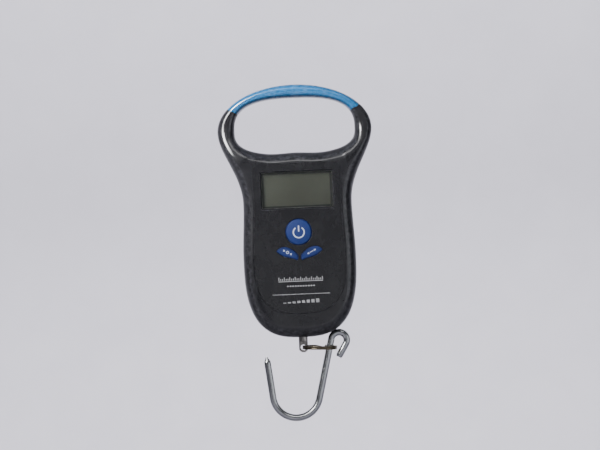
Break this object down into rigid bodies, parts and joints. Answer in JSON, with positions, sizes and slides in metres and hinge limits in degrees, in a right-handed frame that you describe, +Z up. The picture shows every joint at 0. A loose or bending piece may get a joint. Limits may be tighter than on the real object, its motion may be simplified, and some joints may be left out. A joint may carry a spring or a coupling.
{
  "type": "digital fish scale",
  "caption": "Hand-held digital hanging scale with a handle opening, a display, three sprung keys and a hook on a split ring.",
  "frame": {"origin": "underside of the handle bar at its middle, where the hand holds the scale, on the load line", "axes": "+Z up along the load line, +X to the right seen from the display side, +Y to the back; the display faces -Y"},
  "size_m": [0.0892, 0.0288, 0.1946],
  "materials": {
    "case_black": "dull black moulded ABS",
    "plate_black": "dull black",
    "grip_blue": "glossy blue",
    "lens": "clear smoked acrylic",
    "lcd": "grey-green liquid crystal cell",
    "white_plastic": "white moulded",
    "zebra_rubber": "conductive rubber strip",
    "board_green": "solder mask",
    "epoxy_black": "black epoxy",
    "component": "electronic parts",
    "switch_dark": "switch body",
    "steel_zinc": "zinc plated",
    "aluminium_cell": "machined",
    "foil_gauge": "polyimide foil",
    "battery_shell": "plain sleeve",
    "wire_red": "insulation",
    "wire_black": "insulation",
    "wire_green": "insulation",
    "wire_white": "insulation",
    "key_blue": "soft blue key",
    "stud_steel": "blackened steel",
    "ring_nickel": "dark nickel",
    "hook_steel": "dark zinc plated wire"
  },
  "bodies": {
    "case": {"front_housing": "case_black", "rear_housing": "case_black", "front_grip": "grip_blue", "rear_grip": "grip_blue", "face_plate": "plate_black", "display_window": "lens", "lcd_frame": "white_plastic", "lcd_glass": "lcd", "lcd_reflector": "white_plastic", "zebra_strips": "zebra_rubber", "circuit_board": "board_green", "controller_blob": "epoxy_black", "board_components": "component", "switch_bases": "switch_dark", "board_screws": "steel_zinc", "load_cell": "aluminium_cell", "strain_gauges": "foil_gauge", "anchor_plate": "steel_zinc", "plate_screws": "steel_zinc", "anchor_screws": "steel_zinc", "case_screws": "steel_zinc", "battery_left": "battery_shell", "battery_right": "battery_shell", "contact_plate": "steel_zinc", "contact_spring": "steel_zinc", "contact_bridge": "steel_zinc", "cell_wire_red": "wire_red", "cell_wire_black": "wire_black", "cell_wire_green": "wire_green", "cell_wire_white": "wire_white", "battery_wire_red": "wire_red", "battery_wire_black": "wire_black"},
    "cover": {"battery_cover": "case_black"},
    "power_key": {"power_button": "key_blue", "power_plunger": "white_plastic"},
    "unit_key": {"unit_button": "key_blue", "unit_plunger": "white_plastic"},
    "tare_key": {"tare_button": "key_blue", "tare_plunger": "white_plastic"},
    "stud": {"hook_stud": "stud_steel", "stud_washer": "steel_zinc", "stud_nut": "steel_zinc"},
    "ring": {"split_ring": "ring_nickel"},
    "hook": {"hook": "hook_steel"}
  },
  "joints": [
    {"name": "stud_swivel", "type": "hinge", "parent": "case", "child": "stud", "pos_m": [0, 0, -0.1443], "axis": [0, 0, 1], "continuous": true},
    {"name": "ring_swing", "type": "hinge", "parent": "stud", "child": "ring", "pos_m": [0, 0, -0.1443], "axis": [0, 1, 0], "range_deg": [0, 181]},
    {"name": "hook_swing", "type": "hinge", "parent": "ring", "child": "hook", "pos_m": [0.0188, 0, -0.1451], "axis": [0, 1, 0], "range_deg": [-270, 0]},
    {"name": "power_press", "type": "slide", "parent": "case", "child": "power_key", "axis": [0, 1, 0], "range_m": [0, 0.0008], "stiffness_N_per_m": 800, "springref_m": -0.0005},
    {"name": "unit_press", "type": "slide", "parent": "case", "child": "unit_key", "axis": [0, 1, 0], "range_m": [0, 0.0008], "stiffness_N_per_m": 800, "springref_m": -0.0005},
    {"name": "tare_press", "type": "slide", "parent": "case", "child": "tare_key", "axis": [0, 1, 0], "range_m": [0, 0.0008], "stiffness_N_per_m": 800, "springref_m": -0.0005},
    {"name": "cover_open", "type": "hinge", "parent": "case", "child": "cover", "pos_m": [0, 0.014, -0.0879], "axis": [-1, 0, 0], "range_deg": [0, 75]}
  ],
  "couplings": [
    {"joint": "ring_swing", "follows": "hook_swing", "ratio": -0.6667}
  ]
}
